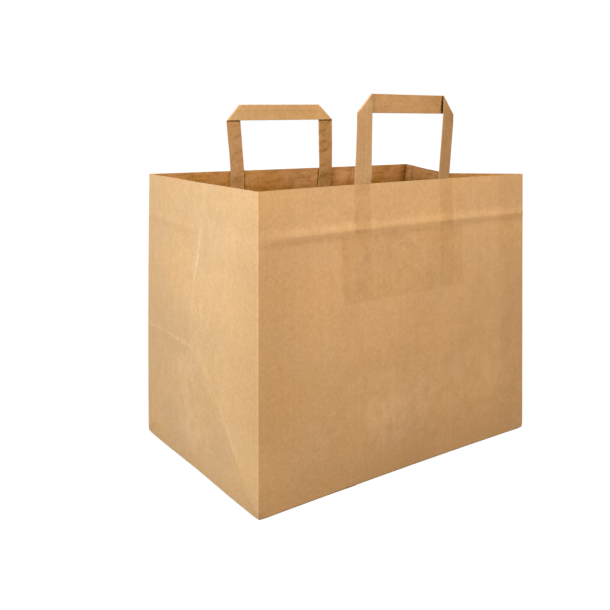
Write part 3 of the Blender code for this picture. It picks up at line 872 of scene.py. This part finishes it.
def front_relief(s, t, z):
    """Both legs are turned a little, and the right one opens a slit where it stands off the bar.
    The slit's darkness is a painted shadow on the strip's rough face.
    """
    across = t / STRIP_WIDTH
    above = z - HEIGHT
    first_fold = FRONT_RISE - STRIP_WIDTH + LEG_INSERT
    second_fold = first_fold + FRONT_SPAN
    wave = 0.0002 * noise.noise(Vector((s / 0.03, t / 0.02, 2.7))) * clamped(above / 0.01)
    turned = (1 - across) * max(0.0, 1 - above / 0.050 if above > 0 else 1 + above / 0.030)
    if s + t < second_fold - CORNER_REACH:
        pulled = across * clamped(above / 0.004) * (1 - clamped((s - first_fold) / 0.03))
        return wave - LEFT_LEG_PULL * pulled + LEFT_LEG_TURN * turned
    along = (s + t - second_fold) / CORNER_REACH
    if along < 0:
        return wave - RIGHT_LEG_PULL * across * (1 + along) ** 2
    down = clamped((s - second_fold) / (FRONT_RISE - STRIP_WIDTH))
    return wave - RIGHT_LEG_PULL * across * (1 - down) + RIGHT_LEG_TURN * turned


front_handle = handle("front_handle", -1, FRONT_LEFT, FRONT_SPAN, FRONT_RISE,
                      (0.0014, 0.0010), (0.0014, -0.0007),
                      ((0.500, 0.298, 0.140), (0.520, 0.296, 0.131)), front_relief)
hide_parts("front_handle")
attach(front_handle, "root")

# The front handle's patch
# A rectangle of the same kraft, glued to the inside of the front panel over both legs, which it drapes
# over with soft steps.
PATCH_WIDTH = 0.144
PATCH_BOTTOM = 0.164
PATCH_HEIGHT = 0.057
PATCH_ASIDE = 0.002  # how far it sits left of the handle's middle
PATCH_RAMP = 0.004  # how long its step down beside a leg is
PATCH_COLOUR = (0.60, 0.345, 0.155)
PATCHES_AT = 4.0  # their place on the flat sheet, again for marks of their own


def patch(name, side_y, left, width):
    """A patch over a handle's legs, which inside the bag start at this left edge and take up this width."""
    middle = left + width / 2 - PATCH_ASIDE
    start = middle - PATCH_WIDTH / 2
    legs = (left, left + width - STRIP_WIDTH)
    low = PAPER + GLUE_GAP
    high = low + STRIP_THICKNESS + GLUE_GAP
    sheet = bmesh.new()
    flat = sheet.verts.layers.float_vector.new("flat")

    def depth(x):
        off_leg = min(max(leg - x, x - leg - STRIP_WIDTH, 0.0) for leg in legs)
        share = clamped((off_leg - 0.001) / PATCH_RAMP)
        return high + (low - high) * share * share * (3 - 2 * share)

    rows = []
    for z in spaced(PATCH_BOTTOM, PATCH_BOTTOM + PATCH_HEIGHT, 0.003) + [PATCH_BOTTOM + PATCH_HEIGHT]:
        row = []
        for x in spaced(start, start + PATCH_WIDTH, 0.001) + [start + PATCH_WIDTH]:
            point = sheet.verts.new(inside_panel(side_y, x, z, depth(x)))
            point[flat] = (x + PATCHES_AT + side_y, z, 0)
            row.append(point)
        rows.append(row)
    for lower, upper in zip(rows, rows[1:]):
        for index in range(len(lower) - 1):
            sheet.faces.new((lower[index], lower[index + 1], upper[index + 1], upper[index]))
    bmesh.ops.recalc_face_normals(sheet, faces=sheet.faces)
    legs_at = [leg + PATCHES_AT + side_y for leg in legs]
    shown = [((leg, PATCH_BOTTOM), (leg + STRIP_WIDTH, 0.23), 0.06) for leg in legs_at]
    paper = kraft("kraft_" + name, PATCH_COLOUR, (), shown, grain=1.2)
    return made_of_paper(name + "_sheet", sheet, paper)


front_patch = patch("front_handle_patch", -1, -0.0565, 0.1143)
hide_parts("front_handle_patch")
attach(front_patch, "root")

# The back handle
# The same folded strip of kraft, mirrored: its legs are glued inside the back panel, so its bar lies in front
# of them. The legs show the rough face of the strip to the front, and the bar its smooth face.
BACK_LEFT = -0.0732
BACK_SPAN = 0.1254
BACK_RISE = 0.0687
BACK_LEG_TURN = 0.0015
WRINKLE_DEPTH = 0.00016


def back_relief(s, t, z):
    """The legs are wrinkled from being folded down in the pack, and their outer edges stand off the wall."""
    above = z - HEIGHT
    wave = noise.noise(Vector((s / 0.006, t / 0.02, 6.3))) + noise.noise(Vector((s / 0.02, t / 0.01, 1.2)))
    on_leg = 1.0 if above < 0.05 else 0.3
    first_fold = BACK_RISE - STRIP_WIDTH + LEG_INSERT
    second_fold = first_fold + BACK_SPAN
    from_bar = max(first_fold - s + t, s + t - second_fold) / CORNER_REACH + 1
    turned = clamped(from_bar) ** 2 * clamped((above + 0.03) / 0.05) * (1 - t / STRIP_WIDTH)
    return WRINKLE_DEPTH * wave * on_leg * clamped((above + 0.03) / 0.02) + BACK_LEG_TURN * turned


back_handle = handle("back_handle", 1, BACK_LEFT, BACK_SPAN, BACK_RISE, (-0.0025, -0.0010), (0.0034, 0.0015),
                     ((0.550, 0.320, 0.134), (0.472, 0.258, 0.108)), back_relief)
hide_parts("back_handle")
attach(back_handle, "root")

# The back handle's patch
# The same rectangle of kraft, glued to the inside of the back panel over the legs of the back handle, which it
# drapes over in the same way.
back_patch = patch("back_handle_patch", 1, -0.0705, 0.1203)
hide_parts("back_handle_patch")
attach(back_patch, "root")

# The table, the light and the camera
# A plain white table and surround. One soft lamp stands on the left, one in front and one far behind.
# The camera stands before the bag's front left corner and looks down a little.
table_top = bpy.data.meshes.new("table_top")
table_top.from_pydata([(-6, -6, 0), (6, -6, 0), (6, 6, 0), (-6, 6, 0)], [], [(0, 1, 2, 3)])
table = bpy.data.objects.new("table", table_top)
bpy.context.scene.collection.objects.link(table)


def seen_directly(tree):
    """1 where the eye, a reflection or a clear piece looks at the surround, 0 where it only lights the bag."""
    path = tree.nodes.new("ShaderNodeLightPath")
    seen = sum_of(tree, "ADD", path.outputs["Is Camera Ray"], path.outputs["Is Glossy Ray"], clamp=True)
    return sum_of(tree, "ADD", seen, path.outputs["Is Transmission Ray"], clamp=True)


white = bpy.data.materials.new("white_table")
white.use_nodes = True
tree = white.node_tree
matt = tree.nodes["Principled BSDF"]
seen = seen_directly(tree)
tint = tree.nodes.new("ShaderNodeMixRGB")
tree.links.new(seen, tint.inputs["Fac"])
tint.inputs["Color1"].default_value = (0.16, 0.13, 0.09, 1)
tint.inputs["Color2"].default_value = (0.5, 0.5, 0.5, 1)
tree.links.new(tint.outputs["Color"], matt.inputs["Base Color"])
matt.inputs["Roughness"].default_value = 0.9
matt.inputs["Specular IOR Level"].default_value = 0.0
glow = tree.nodes.new("ShaderNodeEmission")
glow.inputs["Color"].default_value = (1, 1, 1, 1)
glow.inputs["Strength"].default_value = 1.045
mixed = tree.nodes.new("ShaderNodeMixShader")
place = tree.nodes.new("ShaderNodeNewGeometry")
reach = tree.nodes.new("ShaderNodeVectorMath")
reach.operation = "LENGTH"
tree.links.new(place.outputs["Position"], reach.inputs[0])
# Close to the bag the table keeps a faint shadow, further off it is plain white
glare = ramp_between(tree, reach.outputs["Value"], 0.35, 0.90, 0.93, 1.0)
tree.links.new(sum_of(tree, "MULTIPLY", seen, glare), mixed.inputs[0])
tree.links.new(matt.outputs[0], mixed.inputs[1])
tree.links.new(glow.outputs[0], mixed.inputs[2])
tree.links.new(mixed.outputs[0], tree.nodes["Material Output"].inputs["Surface"])
table_top.materials.append(white)

world = bpy.data.worlds.new("surround")
world.use_nodes = True
bpy.context.scene.world = world
tree = world.node_tree
daylight = tree.nodes["Background"]
daylight.inputs["Color"].default_value = (1.0, 0.77, 0.54, 1)
daylight.inputs["Strength"].default_value = 0.28
backdrop = tree.nodes.new("ShaderNodeBackground")
backdrop.inputs["Color"].default_value = (1, 1, 1, 1)
backdrop.inputs["Strength"].default_value = 1.0
mixed = tree.nodes.new("ShaderNodeMixShader")
tree.links.new(seen_directly(tree), mixed.inputs[0])
tree.links.new(daylight.outputs[0], mixed.inputs[1])
tree.links.new(backdrop.outputs[0], mixed.inputs[2])
tree.links.new(mixed.outputs[0], tree.nodes["World Output"].inputs["Surface"])


def soft_lamp(name, place, aim, size, power, colour):
    """A square soft box at this place, turned to its aim."""
    lamp = bpy.data.lights.new(name, "AREA")
    lamp.size = size
    lamp.energy = power
    lamp.color = colour
    holder = bpy.data.objects.new(name, lamp)
    holder.location = place
    holder.rotation_mode = "QUATERNION"
    holder.rotation_quaternion = (Vector(aim) - Vector(place)).to_track_quat("-Z", "Y")
    bpy.context.scene.collection.objects.link(holder)


BAG_MIDDLE = (0, 0, 0.15)
soft_lamp("side_lamp", (-1.0, -0.3, 0.75), BAG_MIDDLE, 0.5, 15.4, (0.79, 0.89, 1.0))
soft_lamp("front_lamp", (-0.1, -0.7, 0.9), BAG_MIDDLE, 0.5, 6.9, (1.0, 0.89, 0.75))
soft_lamp("far_lamp", (0.65, 1.25, 0.9), BAG_MIDDLE, 0.9, 18.0, (1.0, 0.93, 0.85))

LOOKS_DOWN = 8.256
TURNED_RIGHT = 35.238
camera_lens = bpy.data.cameras.new("camera")
camera_lens.lens = 45.24
camera_lens.shift_y = -0.13
camera = bpy.data.objects.new("camera", camera_lens)
camera.location = (-0.46312, -0.59980, 0.32341)
camera.rotation_euler = (math.radians(90 - LOOKS_DOWN), 0, math.radians(-TURNED_RIGHT))
bpy.context.scene.collection.objects.link(camera)
bpy.context.scene.camera = camera
bpy.context.scene.view_settings.view_transform = "Standard"
